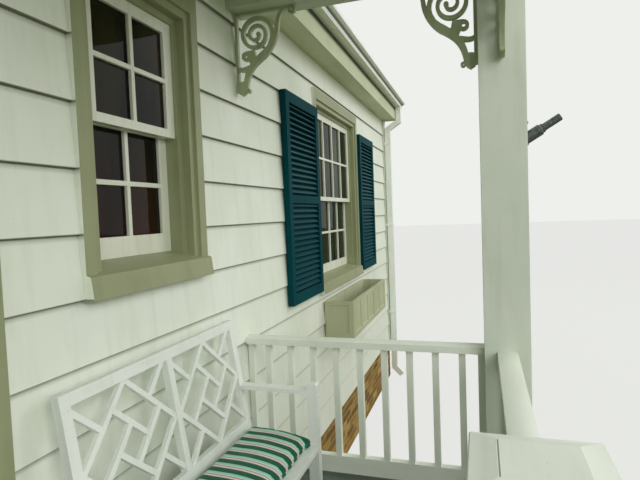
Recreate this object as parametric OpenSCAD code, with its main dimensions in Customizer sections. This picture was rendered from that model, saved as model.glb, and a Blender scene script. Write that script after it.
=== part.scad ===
// Entrance porch of a clapboard house, with the front wall behind it and to its right.
// Sizes are in millimetres. On the plan, x runs to the right along the wall from the
// middle of the door, y runs into the house from the front edge of the clapboards,
// and z runs up from the ground.

/* [Levels] */
// Height of the porch floor above the ground
floor_z = 900; // [880:10:920]
// Height of the brick foundation below the clapboards
base_h = 520; // [500:10:540]
// Height of the soffits and the porch ceiling
soffit_z = 3530; // [3520:5:3540]
// Height of the top edge of the fascia boards
eave_z = 3780; // [3760:5:3800]
// Rise of the roofs for each unit of run
pitch = 0.5; // [0.45:0.01:0.55]

/* [House wall] */
// Visible height of one clapboard
board_h = 216; // [190:1:230]
// Back of the house wall, measured from the front edge of the clapboards
wall_back = 150; // [140:1:160]
// Right corner of the house, from the middle of the door
house_right = 6500; // [6450:5:6600]
// Depth of the soffits
soffit_d = 150; // [130:5:170]

/* [Posts and rails] */
// Corner posts, from the middle of the door to their middle
post_x = 2079; // [2070:1:2090]
// Posts and newels, from the wall to their middle
post_y = 1348; // [1340:1:1360]
// Width of the square corner posts
post_w = 202; // [195:1:210]
// Newels beside the steps, from the middle of the door to their middle
newel_x = 605; // [600:1:620]
// Width of the square newels
newel_w = 200; // [190:1:210]
// Top of the handrails above the porch floor
rail_h = 735; // [720:1:750]
// Distance between the middles of the balusters
baluster_gap = 128; // [126:1:130]
// Width of the square balusters
baluster_w = 31; // [26:1:36]

/* [Windows] */
// Width of the flat casings round windows and door
casing_w = 118; // [112:1:122]
// Height of the window and door openings above the ground
head_z = 3150; // [3140:1:3160]
// Porch windows, from the middle of the door to their middle
porch_win_x = 1274; // [1270:1:1280]
// Width of a porch window's opening
porch_win_w = 538; // [532:1:544]
// Sill of the porch windows
porch_sill_z = 2145; // [2135:1:2150]
// End window, from the middle of the door to its middle
end_win_x = 4090; // [4070:1:4110]
// Width of the end window's opening
end_win_w = 1174; // [1160:1:1184]
// Sill of the end window
end_sill_z = 1765; // [1755:1:1775]

/* [Shutters and window box] */
// Width of a shutter
shutter_w = 680; // [660:1:690]
// Bottom of the shutters
shutter_z = 1675; // [1665:1:1685]
// Height of a shutter
shutter_h = 1445; // [1430:1:1450]
// Louvres in each half of a shutter
louvres = 16; // [14:1:20]
// Left end of the window box
box_x = 3490; // [3480:1:3500]
// Length of the window box
box_l = 1410; // [1400:1:1420]

/* [Steps] */
// Depth of one step
step_run = 280; // [260:5:300]
// Number of rises from the ground to the porch floor
rises = 5; // [5:1:5]

/* [Bench] */
// Left end of the bench, from the middle of the door
bench_x = 680; // [670:1:690]
// Length of the bench
bench_l = 1064; // [1050:1:1070]
// Height of the bench back above the porch floor
bench_h = 887; // [875:1:900]
// Height of the bench seat above the porch floor
seat_h = 322; // [310:1:340]
// Front of the bench, measured from the clapboards
bench_front = 512; // [500:1:525]
// Lean of the bench back, as run for each unit of rise
lean = 0.16; // [0.12:0.01:0.2]
// Thickness of the seat cushion
cushion_h = 72; // [40:2:80]

/* [Flag holder] */
// Height of the middle of its plate above the ground
holder_z = 2618; // [2500:2:2800]
// Outside diameter of its tube
holder_d = 34; // [28:1:40]
// Angle of its tube above level
holder_rise = 31; // [25:1:50]

/* [Hidden] */
core_y = 20;
clap_t = 14;
deck_t = 50;
fascia_t = 19;
board_t = 12;
beam_w = 180;
beam_z = 3380;
beam_out = post_x + beam_w / 2;
porch_eave = beam_out + soffit_d + fascia_t;
house_eave = soffit_d + fascia_t;
drip = 25;
front_y = -post_y - beam_w / 2;
rake_y = front_y - 230;
deck_x = post_x + post_w / 2 + 30;
deck_y = -post_y - post_w / 2 - 30;
deck_h = 30;
rim_x = deck_x - 20;
rim_y = deck_y + 20;
rim_z = 640;
rim_t = 30;
base_x = rim_x - 20;
base_y = rim_y + 20;
base_t = 200;
house_base_y = 15;
house_back = house_base_y + base_t;
rise = floor_z / rises;
tread_t = 35;
riser_t = 20;
nosing = 25;
steps_half = 605;
steps_end = rim_y - (rises - 1) * step_run - nosing;
roof_left_end = -porch_eave - drip;
roof_right_end = house_right + 30;
mid_x = (roof_left_end + roof_right_end) / 2;
mid_y = (steps_end + house_back) / 2;
jamb_t = 45;
stop_w = 29;
stop_y = 44;
casing_y = -12;
inner_casing_y = 3;
outer_casing_w = 54;
head_top = head_z + 145;
sill_drop = 120;
sill_top_drop = 38;
door_half = 466;
door_sill_z = 1080;
rail_w = 88;
rail_gap = 15;
foot_h = 90;
foot_t = 38;
cap_w = 280;
cap_edge = 30;
cap_rise = 14;
newel_top = floor_z + rail_h + 150;
bracket_t = 22;
bracket_h = 440;
gutter_z = 3690;
gutter_h = 72;
gutter_d = 124;
gutter_x = porch_eave + 40;
spout_x = 6410;
spout_w = 60;
spout_t = 72;
spout_y = -22;
sash_t = 36;
upper_sash_y = 58;
lower_sash_y = 108;
stile = 54;
muntin_w = 20;
glass_t = 4;
groove = 5;
porch_meet = 2649;
end_meet = 2405;
meet_h = 36;
top_rail = 50;
porch_foot = 83;
end_foot = 75;
shutter_t = 40;
shutter_gap = 15;
shutter_stile = 60;
shutter_rail = 75;
mid_rail = 55;
box_z = 1270;
box_h = 300;
box_d = 245;
box_t = 20;
leg = 40;
leg_d = 50;
post_t = 30;
arm_h = 582;
arm_t = 20;
back_y = -75;
slat_t = 28;

white = "#e9efe6";
khaki = "#9a9a7b";
teal = "#1f4454";
brick = "#a8743f";
grey_green = "#77857a";
shingle = "#5c5a56";

// Underside of the porch roof over x, and of the house roof over y
function porch_roof_z(x) = eave_z + pitch * (porch_eave - abs(x));
function house_roof_z(y) = eave_z + pitch * (y + house_eave);

// Moves the plan so that the middle of the whole object's footprint is the origin
module on_site() {
    translate([-mid_x, -mid_y, 0]) children();
}

// The same piece on both sides of the door's middle line
module both_sides() {
    children();
    mirror([1, 0, 0]) children();
}

// A box given by its low and high corners
module block(low, high) {
    translate(low) cube(high - low);
}

// An outline on the plane of x and z, made solid from y0 to y1
module along_y(y0, y1) {
    translate([0, y1, 0]) rotate([90, 0, 0]) linear_extrude(y1 - y0) children();
}

// An outline on the plane of y and z, made solid from x0 to x1
module along_x(x0, x1) {
    translate([x0, 0, 0]) rotate([90, 0, 90]) linear_extrude(x1 - x0) children();
}

// Section through overlapping clapboards, from the height z0 to z1
module clapboard_section(z0, z1) {
    rows = ceil((z1 - z0) / board_h);
    intersection() {
        polygon(concat(
            [for (i = [0 : rows - 1], top = [0, 1]) [top * clap_t, z0 + (i + top) * board_h]],
            [[core_y, z0 + rows * board_h], [core_y, z0]]));
        translate([0, z0]) square([core_y, z1 - z0]);
    }
}

// House wall
module wall_piece(x0, x1, z0, z1) {
    block([x0, core_y, z0], [x1, wall_back, z1]);
}

module window_hole(x, w, sill) {
    half = w / 2 + jamb_t;
    block([x - half, core_y - 1, sill - 60], [x + half, wall_back + 1, head_z + jamb_t]);
}

module house_foundation() on_site() color(brick)
    block([roof_left_end + drip, house_base_y, 0], [house_right - 5, house_back, base_h]);

module wall_left() on_site() color(white) difference() {
    wall_piece(-porch_eave, -door_half - jamb_t, base_h, soffit_z);
    window_hole(-porch_win_x, porch_win_w, porch_sill_z);
}

module wall_over_door() on_site() color(white)
    wall_piece(-door_half - jamb_t, door_half + jamb_t, head_z + jamb_t, soffit_z);

module wall_right() on_site() color(white) difference() {
    wall_piece(door_half + jamb_t, porch_eave, base_h, soffit_z);
    window_hole(porch_win_x, porch_win_w, porch_sill_z);
}

module wall_end() on_site() color(white) difference() {
    wall_piece(porch_eave, house_right, base_h, soffit_z);
    window_hole(end_win_x, end_win_w, end_sill_z);
}

module gable_wall() on_site() color(white) {
    along_y(core_y, wall_back)
        polygon([[-porch_eave, soffit_z], [porch_eave, soffit_z], [porch_eave, eave_z],
            [0, porch_roof_z(0)], [-porch_eave, eave_z]]);
    along_x(beam_out - wall_back, house_right)
        polygon([[core_y, soffit_z], [wall_back, soffit_z], [wall_back, house_roof_z(wall_back)],
            [core_y, house_roof_z(core_y)]]);
}

module window_cut(x, w, sill) {
    half = w / 2 + casing_w;
    block([x - half, -clap_t, sill - sill_drop], [x + half, core_y + 1, head_top]);
}

module clapboard_siding() on_site() color(white) difference() {
    along_x(-porch_eave, house_right - 105) clapboard_section(base_h, soffit_z);
    both_sides() window_cut(porch_win_x, porch_win_w, porch_sill_z);
    window_cut(end_win_x, end_win_w, end_sill_z);
    block([-door_half - casing_w, -clap_t, base_h - 1], [door_half + casing_w, core_y + 1, head_top]);
    both_sides() block([post_x - beam_w / 2, -clap_t, beam_z], [beam_out, core_y + 1, soffit_z + 1]);
}

module corner_board() on_site() color(white) {
    block([house_right - 105, casing_y, base_h], [house_right, core_y, soffit_z]);
    block([house_right, casing_y, base_h], [house_right + 20, wall_back, soffit_z]);
}

// Porch base and steps
module porch_foundation() on_site() color(brick) difference() {
    block([-base_x, base_y, 0], [base_x, house_base_y, rim_z]);
    block([base_t - base_x, base_y + base_t, -1], [base_x - base_t, house_base_y + 1, rim_z + 1]);
    block([-base_x - 1, 0, base_h], [base_x + 1, house_base_y + 1, rim_z + 1]);
}

module floor_rim() on_site() color(white) difference() {
    block([-rim_x, rim_y, rim_z], [rim_x, 0, floor_z - deck_h]);
    block([rim_t - rim_x, rim_y + rim_t, rim_z - 1], [rim_x - rim_t, 1, floor_z]);
}

module porch_floor() on_site() color(grey_green)
    block([-deck_x, deck_y, floor_z - deck_h], [deck_x, 0, floor_z]);

// Front face of the riser under step number k, counted up from the ground
function riser_y(k) = rim_y - (rises - k) * step_run;

module step_stringers() on_site() color(white)
    for (x = [-steps_half, -20, steps_half - 40])
        along_x(x, x + 40)
            polygon(concat(
                [for (k = [1 : rises - 1], top = [0, 1])
                    [riser_y(k) + riser_t, k == 1 && top == 0 ? 0 : (k - 1 + top) * rise - tread_t]],
                [[rim_y, (rises - 1) * rise - tread_t], [rim_y, 330], [riser_y(1) + 330, 0]]));

module step_risers() on_site() color(white)
    for (k = [1 : rises - 1])
        block([-steps_half, riser_y(k), k == 1 ? 0 : (k - 1) * rise],
            [steps_half, riser_y(k) + riser_t, k * rise - tread_t]);

module step_treads() on_site() color(grey_green)
    for (k = [1 : rises - 1])
        block([-steps_half - nosing, riser_y(k) - nosing, k * rise - tread_t],
            [steps_half + nosing, riser_y(k + 1), k * rise]);

// Posts, newels and rails
module corner_posts() on_site() color(white) both_sides()
    translate([post_x, -post_y, 0])
        block([-post_w / 2, -post_w / 2, floor_z], [post_w / 2, post_w / 2, beam_z]);

// A low pyramid with a flat top, from two crossed ridges
module cap_top(w, flat, h) {
    outline = [[-w / 2, 0], [w / 2, 0], [flat / 2, h], [-flat / 2, h]];
    intersection() {
        along_x(-w / 2, w / 2) polygon(outline);
        along_y(-w / 2, w / 2) polygon(outline);
    }
}

module newels() on_site() color(white) both_sides() translate([newel_x, -post_y, 0]) {
    cap_z = newel_top - cap_rise - cap_edge;
    block([-newel_w / 2, -newel_w / 2, floor_z], [newel_w / 2, newel_w / 2, cap_z]);
    block([-cap_w / 2, -cap_w / 2, cap_z], [cap_w / 2, cap_w / 2, cap_z + cap_edge]);
    translate([0, 0, cap_z + cap_edge]) cap_top(cap_w, 165, cap_rise);
}

// A rail of the length l along x: peaked handrail, bottom rail, balusters and end stiles
module rail(l, first) {
    top = floor_z + rail_h;
    foot = floor_z + rail_gap;
    along_x(0, l)
        polygon([[-rail_w / 2, top - 45], [rail_w / 2, top - 45], [rail_w / 2, top - 12],
            [0, top], [-rail_w / 2, top - 12]]);
    block([0, -foot_t / 2, foot], [l, foot_t / 2, foot + foot_h]);
    for (x = concat([0, l - baluster_w], [for (m = [first : baluster_gap : l - 75]) m - baluster_w / 2]))
        block([x, -baluster_w / 2, foot + foot_h - 1], [x + baluster_w, baluster_w / 2, top - 44]);
}

module side_rails() on_site() color(white) both_sides()
    translate([post_x, 0, 0]) rotate([0, 0, -90]) rail(post_y - post_w / 2, 118);

module front_rails() on_site() color(white) both_sides() {
    start = newel_x + newel_w / 2;
    translate([start, -post_y, 0]) rail(post_x - post_w / 2 - start, 124);
}

// Beams, ceiling and the porch roof
module side_beams() on_site() color(white) both_sides()
    block([post_x - beam_w / 2, front_y + beam_w, beam_z], [beam_out, core_y, soffit_z]);

module front_beam() on_site() color(white)
    block([-beam_out, front_y, beam_z], [beam_out, front_y + beam_w, soffit_z]);

module porch_ceiling() on_site() color(white)
    block([40 - post_x, front_y + beam_w - 40, soffit_z], [post_x - 40, core_y, soffit_z + board_t]);

module porch_cornices() on_site() color(white) both_sides() {
    block([beam_out, rake_y + 30, soffit_z], [porch_eave, core_y, soffit_z + board_t]);
    block([porch_eave - fascia_t, rake_y + 30, soffit_z - 5], [porch_eave, -house_eave, eave_z]);
    along_y(rake_y + 30, front_y)
        polygon([[beam_out, soffit_z], [beam_out + board_t, soffit_z], [beam_out + board_t, eave_z],
            [beam_out, eave_z]]);
}

module pediment() on_site() color(white) intersection() {
    translate([0, front_y, 0]) along_x(-beam_out, beam_out)
        clapboard_section(soffit_z, soffit_z + 7 * board_h);
    along_y(front_y - 5, front_y + 60)
        polygon([[-beam_out, soffit_z], [beam_out, soffit_z], [beam_out, porch_roof_z(beam_out)],
            [0, porch_roof_z(0)], [-beam_out, porch_roof_z(beam_out)]]);
}

module rake_boards() on_site() color(white) both_sides()
    along_y(rake_y + 8, rake_y + 30)
        polygon([[0.5, porch_roof_z(0.5)], [porch_eave, eave_z], [porch_eave, soffit_z - 5],
            [beam_out, soffit_z - 5], [beam_out, porch_roof_z(beam_out) - 160],
            [0.5, porch_roof_z(0.5) - 160]]);

module roof_slope() {
    along_y(rake_y, wall_back)
        polygon([[0, porch_roof_z(0)], [porch_eave + drip, eave_z - pitch * drip],
            [porch_eave + drip, eave_z - pitch * drip + deck_t], [0, porch_roof_z(0) + deck_t]]);
}

module roof_left() on_site() color(shingle) mirror([1, 0, 0]) roof_slope();

module roof_right() on_site() color(shingle) intersection() {
    roof_slope();
    translate([0, 0, soffit_z]) linear_extrude(2000)
        polygon([[0, rake_y], [porch_eave + drip, rake_y], [porch_eave + drip, -house_eave - drip],
            [beam_out - wall_back, wall_back], [0, wall_back]]);
}

// Eave of the house to the right of the porch
module house_cornice() on_site() color(white) {
    along_x(porch_eave, house_right + 20)
        polygon([[core_y, soffit_z], [core_y, soffit_z + board_t], [-soffit_d, soffit_z + board_t],
            [-soffit_d, eave_z], [-house_eave, eave_z], [-house_eave, soffit_z - 5],
            [-soffit_d, soffit_z - 5], [-soffit_d, soffit_z]]);
    along_x(house_right, house_right + 20)
        polygon([[-soffit_d - 1, soffit_z], [core_y, soffit_z], [core_y, house_roof_z(core_y)],
            [-house_eave, eave_z]]);
}

module house_roof_edge() on_site() color(shingle) intersection() {
    along_x(0, roof_right_end)
        polygon([[-house_eave - drip, eave_z - pitch * drip], [wall_back, house_roof_z(wall_back)],
            [wall_back, house_roof_z(wall_back) + deck_t],
            [-house_eave - drip, eave_z - pitch * drip + deck_t]]);
    translate([0, 0, soffit_z]) linear_extrude(1000)
        polygon([[porch_eave + drip, -house_eave - drip], [roof_right_end, -house_eave - drip],
            [roof_right_end, wall_back], [beam_out - wall_back, wall_back]]);
}

// Outline of the gutter's trough, shrunk all round by s
module gutter_outline(s, rim) {
    back = -house_eave - s;
    front = -house_eave - gutter_d + s;
    polygon([[back, gutter_z + s], [front + 50, gutter_z + s], [front + 40, gutter_z + 26],
        [front, gutter_z + 48], [front, gutter_z + gutter_h + rim], [back, gutter_z + gutter_h + rim]]);
}

module gutter() on_site() color(white) difference() {
    along_x(gutter_x, house_right + 20) gutter_outline(0, 0);
    along_x(gutter_x + 3, house_right + 17) gutter_outline(3, 5);
}

module downspout() on_site() color(white) {
    out = -house_eave - 8;
    along_x(spout_x, spout_x + spout_w)
        polygon([[out, gutter_z], [out, soffit_z - 10], [spout_y, soffit_z - 110],
            [spout_y, 130], [spout_y - 110, 20], [spout_y - 165, 65], [spout_y - spout_t, 160],
            [spout_y - spout_t, soffit_z - 142], [out - 66, soffit_z - 45], [out - 66, gutter_z]]);
    for (z = [900, 2100, 3200])
        block([spout_x - 12, spout_y - spout_t - 2, z], [spout_x + spout_w + 12, casing_y, z + 30]);
}

// Outline of a bracket: a runs along the beam from the post or wall, b runs down from the beam

// A spiral band that winds in from the radius r0 to r1 over the given turn in degrees
module spiral_band(c, r0, r1, a0, turn, t0, t1) {
    steps = ceil(abs(turn) / 12);
    function at(i, side) = let (k = i / steps, a = a0 + turn * k)
        c + (r0 + (r1 - r0) * k + side * (t0 + (t1 - t0) * k) / 2) * [cos(a), sin(a)];
    polygon(concat([for (i = [0 : steps]) at(i, 1)], [for (i = [0 : steps]) at(steps - i, -1)]));
}

// A point, a direction and an edge point of the curve with the four control points p
function on(p, k) = pow(1 - k, 3) * p[0] + 3 * k * pow(1 - k, 2) * p[1] + 3 * k * k * (1 - k) * p[2]
    + pow(k, 3) * p[3];
function along(p, k) = pow(1 - k, 2) * (p[1] - p[0]) + 2 * k * (1 - k) * (p[2] - p[1])
    + k * k * (p[3] - p[2]);
function edge(p, k, w) = let (d = along(p, k) / norm(along(p, k))) on(p, k) + w / 2 * [d.y, -d.x];

// One band along several curves that run on from each other, with the widths at their ends
module ribbon(curves, widths, steps = 10) {
    last = len(curves) - 1;
    stops = [for (i = [0 : last], j = [0 : i == last ? steps : steps - 1]) [i, j / steps]];
    function at(stop, side) = let (i = stop[0], k = stop[1])
        edge(curves[i], k, side * (widths[i] + (widths[i + 1] - widths[i]) * k));
    polygon(concat(
        [for (stop = stops) at(stop, 1)],
        [for (n = [len(stops) - 1 : -1 : 0]) at(stops[n], -1)]));
}

module disc(c, r) {
    translate(c) circle(r = r, $fn = 28);
}

module scroll_outline() difference() {
    union() {
        // Legs along the wall and under the beam, with the curled tip
        square([16, bracket_h - 20]);
        square([334, 15]);
        spiral_band([328, 26], 19, 9, -90, 290, 14, 12);
        // Volute that winds in to a bulb
        spiral_band([122, 124], 100, 16, 40, -760, 22, 15);
        disc([138, 124], 12);
        // S-shaped rib from the beam to the tail
        ribbon([
            [[300, 8], [262, 16], [249, 62], [244, 104]],
            [[244, 104], [238, 154], [204, 206], [160, 236]],
            [[160, 236], [104, 274], [62, 304], [50, 400]]], [16, 22, 40, 26]);
        polygon([[60, 206], [112, 204], [118, 236], [140, 250], [96, 296], [78, 262]]);
        // Small disc, crossing band and tail
        disc([61, 232], 25);
        ribbon([[[10, 292], [30, 306], [48, 300], [80, 292]]], [18, 24]);
        polygon([[10, 366], [40, 362], [62, 390], [50, bracket_h - 12], [32, bracket_h],
            [10, bracket_h - 14]]);
        disc([66, 414], 13);
    }
    disc([61, 232], 9);
    disc([66, 414], 4);
}

// The bracket stands against the plane x = 0 and hangs from the beam, with its thickness along y
module scroll_bracket() {
    along_y(-bracket_t / 2, bracket_t / 2) mirror([0, 1]) scroll_outline();
}

module scroll_brackets() on_site() color(white) both_sides() {
    translate([post_x, 0, beam_z]) rotate([0, 0, -90]) scroll_bracket();
    translate([post_x, -post_y + post_w / 2, beam_z]) rotate([0, 0, 90]) scroll_bracket();
    translate([post_x - post_w / 2, -post_y, beam_z]) rotate([0, 0, 180]) scroll_bracket();
}

module flag_holder() on_site() color("silver") translate([post_x, -post_y - post_w / 2, holder_z]) {
    boss_r = 26;
    boss_h = 78;
    tube_h = 171;
    bore_r = holder_d / 2 - 3;
    block([-30, -5, -60], [30, 0, 60]);
    difference() {
        translate([0, 0, -22]) rotate([90 - holder_rise, 0, 0]) rotate_extrude()
            polygon([[0, -30], [boss_r, -30], [boss_r, boss_h - 6], [boss_r - 5, boss_h],
                [boss_r - 5, boss_h + 10], [holder_d / 2, boss_h + 10], [holder_d / 2, tube_h],
                [bore_r, tube_h], [bore_r, 20], [0, 20]]);
        block([-30, 0, -80], [30, 60, 60]);
    }
}

// Door
module door_sill() on_site() color(white) {
    block([-door_half, 0, base_h], [door_half, wall_back, door_sill_z - 40]);
    block([-door_half, -60, door_sill_z - 40], [door_half, wall_back, door_sill_z]);
}

// An upright board frame on the plane of x and z: open below, from the half width inner to outer
module frame_band(inner, outer, foot, inner_top, outer_top, y0, y1) {
    along_y(y0, y1) difference() {
        translate([-outer, foot]) square([2 * outer, outer_top - foot]);
        translate([-inner, foot - 1]) square([2 * inner, inner_top - foot + 1]);
    }
}

// Casing in two steps, outside the opening of the half width w and the height head_z
module casing_front(w, foot) {
    step = casing_w - outer_casing_w;
    frame_band(w + step, w + casing_w, foot, head_z + step, head_top, casing_y, core_y);
    frame_band(w + stop_w, w + step + 1, foot, head_z + stop_w, head_z + step + 1, inner_casing_y, core_y);
}

// Lining of the opening through the wall, with a stop behind the casing
module jambs(w, foot) {
    frame_band(w + stop_w, w + jamb_t, foot, head_z + stop_w, head_z + jamb_t, core_y, stop_y);
    frame_band(w, w + jamb_t, foot, head_z, head_z + jamb_t, stop_y, wall_back);
}

module door_casing() on_site() color(khaki) {
    casing_front(door_half, floor_z);
    jambs(door_half, base_h);
}

module door_leaf() on_site() color(teal) difference() {
    block([-door_half + 3, 62, door_sill_z + 3], [door_half - 3, 106, head_z - 3]);
    for (row = [[130, 560], [690, 640], [1450, 470]], x = [-1, 1])
        translate([x * 205, 0, door_sill_z + row[0]]) block([-140, 50, 0], [140, 74, row[1]]);
}

// Windows
// Sloping sill over a board that covers the clapboards below the window
module sill(w, z) {
    outer = w + casing_w;
    along_x(-outer, outer)
        polygon([[core_y, z - sill_drop], [-40, z - sill_drop], [-30, z - sill_top_drop], [core_y, z - 22]]);
    along_x(-w - jamb_t, w + jamb_t)
        polygon([[core_y, z - 60], [core_y, z - 22], [lower_sash_y, z], [wall_back, z], [wall_back, z - 60]]);
}

module window_casing(w, z) {
    casing_front(w, z - sill_top_drop);
    jambs(w, z - sill_top_drop);
    sill(w, z);
}

module porch_window_casings() on_site() color(khaki)
    both_sides() translate([porch_win_x, 0, 0]) window_casing(porch_win_w / 2, porch_sill_z);

module end_window_casing() on_site() color(khaki)
    translate([end_win_x, 0, 0]) window_casing(end_win_w / 2, end_sill_z);

// One sash between the heights z0 and z1: its rails and stiles, with bars that divide the panes
module sash(w, z0, z1, bottom, top, cols) {
    pane_w = (w - 2 * stile - (cols - 1) * muntin_w) / cols;
    pane_h = (z1 - z0 - bottom - top - muntin_w) / 2;
    difference() {
        block([-w / 2, 0, z0], [w / 2, sash_t, z1]);
        for (c = [0 : cols - 1], r = [0, 1])
            translate([stile - w / 2 + c * (pane_w + muntin_w), -1, z0 + bottom + r * (pane_h + muntin_w)])
                cube([pane_w, sash_t + 2, pane_h]);
        sash_glass(w, z0, z1, bottom, top);
    }
}

module sash_glass(w, z0, z1, bottom, top) {
    block([stile - w / 2 - groove, sash_t / 2 - glass_t / 2, z0 + bottom - groove],
        [w / 2 - stile + groove, sash_t / 2 + glass_t / 2, z1 - top + groove]);
}

module porch_window_sashes() on_site() color("white") both_sides() translate([porch_win_x, 0, 0]) {
    translate([0, lower_sash_y, 0])
        sash(porch_win_w, porch_sill_z, porch_meet + meet_h, porch_foot, meet_h, 2);
    translate([0, upper_sash_y, 0]) sash(porch_win_w, porch_meet, head_z, meet_h, top_rail, 2);
}

module porch_window_glass() on_site() color("lightblue") both_sides() translate([porch_win_x, 0, 0]) {
    translate([0, lower_sash_y, 0])
        sash_glass(porch_win_w, porch_sill_z, porch_meet + meet_h, porch_foot, meet_h);
    translate([0, upper_sash_y, 0]) sash_glass(porch_win_w, porch_meet, head_z, meet_h, top_rail);
}

module end_window_sashes() on_site() color("white") translate([end_win_x, 0, 0]) {
    translate([0, lower_sash_y, 0])
        sash(end_win_w, end_sill_z, end_meet + meet_h, end_foot, meet_h, 4);
    translate([0, upper_sash_y, 0]) sash(end_win_w, end_meet, head_z, meet_h, top_rail, 4);
}

module end_window_glass() on_site() color("lightblue") translate([end_win_x, 0, 0]) {
    translate([0, lower_sash_y, 0])
        sash_glass(end_win_w, end_sill_z, end_meet + meet_h, end_foot, meet_h);
    translate([0, upper_sash_y, 0]) sash_glass(end_win_w, end_meet, head_z, meet_h, top_rail);
}

// Shutters and window box
module shutter() {
    field_h = (shutter_h - 2 * shutter_rail - mid_rail) / 2;
    fields = [shutter_rail, shutter_rail + field_h + mid_rail];
    difference() {
        cube([shutter_w, shutter_t, shutter_h]);
        for (z = fields)
            translate([shutter_stile, -1, z]) cube([shutter_w - 2 * shutter_stile, shutter_t + 2, field_h]);
    }
    for (z = fields, i = [0 : louvres - 1])
        translate([shutter_stile - 5, 7, z + (i + 0.5) * field_h / louvres - 3])
            rotate([38, 0, 0]) translate([0, -2, -4]) cube([shutter_w - 2 * shutter_stile + 10, 32, 8]);
}

module shutters() on_site() color(teal)
    for (x = [end_win_x - end_win_w / 2 - casing_w - shutter_gap - shutter_w,
            end_win_x + end_win_w / 2 + casing_w + shutter_gap])
        translate([x, -shutter_t, shutter_z]) shutter();

module window_box() on_site() color(khaki) translate([box_x, -box_d, box_z]) difference() {
    union() {
        block([8, 8, 0], [box_l - 8, box_d, box_h]);
        block([0, 0, 0], [box_l, box_d, 38]);
        block([0, 0, box_h - 32], [box_l, box_d, box_h]);
        for (i = [0 : 5])
            translate([i * (box_l - 60) / 5, 0, 0]) cube([60, 20, box_h]);
        for (x = [0, box_l - 20], y = [0, box_d - 45])
            translate([x, y, 0]) cube([20, 45, box_h]);
    }
    block([box_t + 8, box_t + 8, box_t], [box_l - box_t - 8, box_d - box_t, box_h + 1]);
}

// Garden bench
// Front of the leaning bench back at the height h above the floor
function back_at(h) = back_y - lean * (bench_h - h);

module bench_frame() on_site() color(white) translate([bench_x, 0, floor_z]) {
    front = -bench_front;
    arm_back = back_at(arm_h);
    for (x = [0, bench_l - leg]) {
        along_x(x, x + leg)
            polygon([[back_at(seat_h), 0], [back_at(seat_h), seat_h], [back_y, bench_h],
                [back_y + post_t, bench_h], [back_at(seat_h) + post_t, seat_h],
                [back_at(seat_h) + post_t, 0]]);
        block([x, front, 0], [x + leg, front + leg_d, arm_h + 20]);
        along_x(x, x + leg)
            polygon([[front, arm_h + 20], [front + 8, arm_h + 28], [front + leg_d - 8, arm_h + 28],
                [front + leg_d, arm_h + 20]]);
        along_x(x - 6, x + leg + 6)
            polygon([[front + leg_d - 1, arm_h - arm_t], [front + leg_d - 1, arm_h], [arm_back + 2, arm_h],
                [back_at(arm_h - arm_t) + 2, arm_h - arm_t]]);
    }
    for (x = [8, bench_l - leg - 25])
        block([x, front + leg_d - 1, seat_h - slat_t - 55],
            [x + leg + 17, back_at(seat_h) + 5, seat_h - slat_t]);
}

// A flat bar of the width t from the point p to the point q
module bar(p, q, t) {
    d = q - p;
    translate(p) rotate(atan2(d.y, d.x)) translate([-t / 4, -t / 2]) square([norm(d) + t / 2, t]);
}

// A diamond that holds a pinwheel of bars, with a short bar towards each corner, in a panel of w by h
module lattice(w, h, t) {
    function at(u, v) = [w / 2 * (1 + u - v), h - h / 2 * (u + v)];
    third = 1 / 3;
    two = 2 / 3;
    low = 0.45;
    high = 0.55;
    diamond = [[[0, 0], [1, 0]], [[0, 0], [0, 1]], [[1, 0], [1, 1]], [[0, 1], [1, 1]]];
    pinwheel = [[[0, third], [two, third]], [[two, 0], [two, two]], [[third, two], [1, two]],
        [[third, third], [third, 1]]];
    corners = [[[0, high], [-0.6, high]], [[low, 0], [low, -0.6]], [[1, low], [1.6, low]],
        [[high, 1], [high, 1.6]]];
    intersection() {
        square([w, h]);
        for (b = concat(diamond, pinwheel, corners)) bar(at(b[0].x, b[0].y), at(b[1].x, b[1].y), t);
    }
}

// The back leans: it is drawn upright and turned about its foot
module bench_back() on_site() color(white)
    translate([bench_x + leg, back_at(seat_h), floor_z + seat_h]) rotate([-atan(lean), 0, 0]) {
        w = bench_l - 2 * leg;
        high = (bench_h - seat_h) * sqrt(1 + lean * lean);
        top = 40;
        low = 55;
        mullion = 33;
        panel_w = (w - mullion) / 2;
        along_y(0, post_t) difference() {
            translate([0, low]) square([w, high - low]);
            for (x = [0, panel_w + mullion])
                translate([x == 0 ? -1 : x, low + top]) square([panel_w + 1, high - low - 2 * top]);
        }
        along_y(4, 22) for (x = [0, panel_w + mullion - 1])
            translate([x, low + top - 1]) lattice(panel_w + 1, high - low - 2 * top + 2, 20);
    }

module bench_seat() on_site() color(white) {
    slats = 5;
    depth = bench_front + back_at(seat_h);
    slat_w = (depth - (slats - 1) * 10) / slats;
    for (i = [0 : slats - 1])
        translate([bench_x + leg, i * (slat_w + 10) - bench_front, floor_z + seat_h - slat_t])
            cube([bench_l - 2 * leg, slat_w, slat_t]);
}

module seat_cushion() on_site() color("seagreen")
    block([bench_x + leg, 34 - bench_front, floor_z + seat_h],
        [bench_x + bench_l - leg, back_at(seat_h), floor_z + seat_h + cushion_h]);

house_foundation();
wall_left();
wall_over_door();
wall_right();
wall_end();
gable_wall();
clapboard_siding();
corner_board();
porch_foundation();
floor_rim();
porch_floor();
step_stringers();
step_risers();
step_treads();
corner_posts();
newels();
side_rails();
front_rails();
side_beams();
front_beam();
scroll_brackets();
flag_holder();
porch_ceiling();
porch_cornices();
pediment();
rake_boards();
roof_left();
roof_right();
house_cornice();
house_roof_edge();
gutter();
downspout();
door_sill();
door_casing();
door_leaf();
porch_window_casings();
porch_window_sashes();
porch_window_glass();
end_window_casing();
end_window_sashes();
end_window_glass();
shutters();
window_box();
bench_frame();
bench_back();
bench_seat();
seat_cushion();
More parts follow.
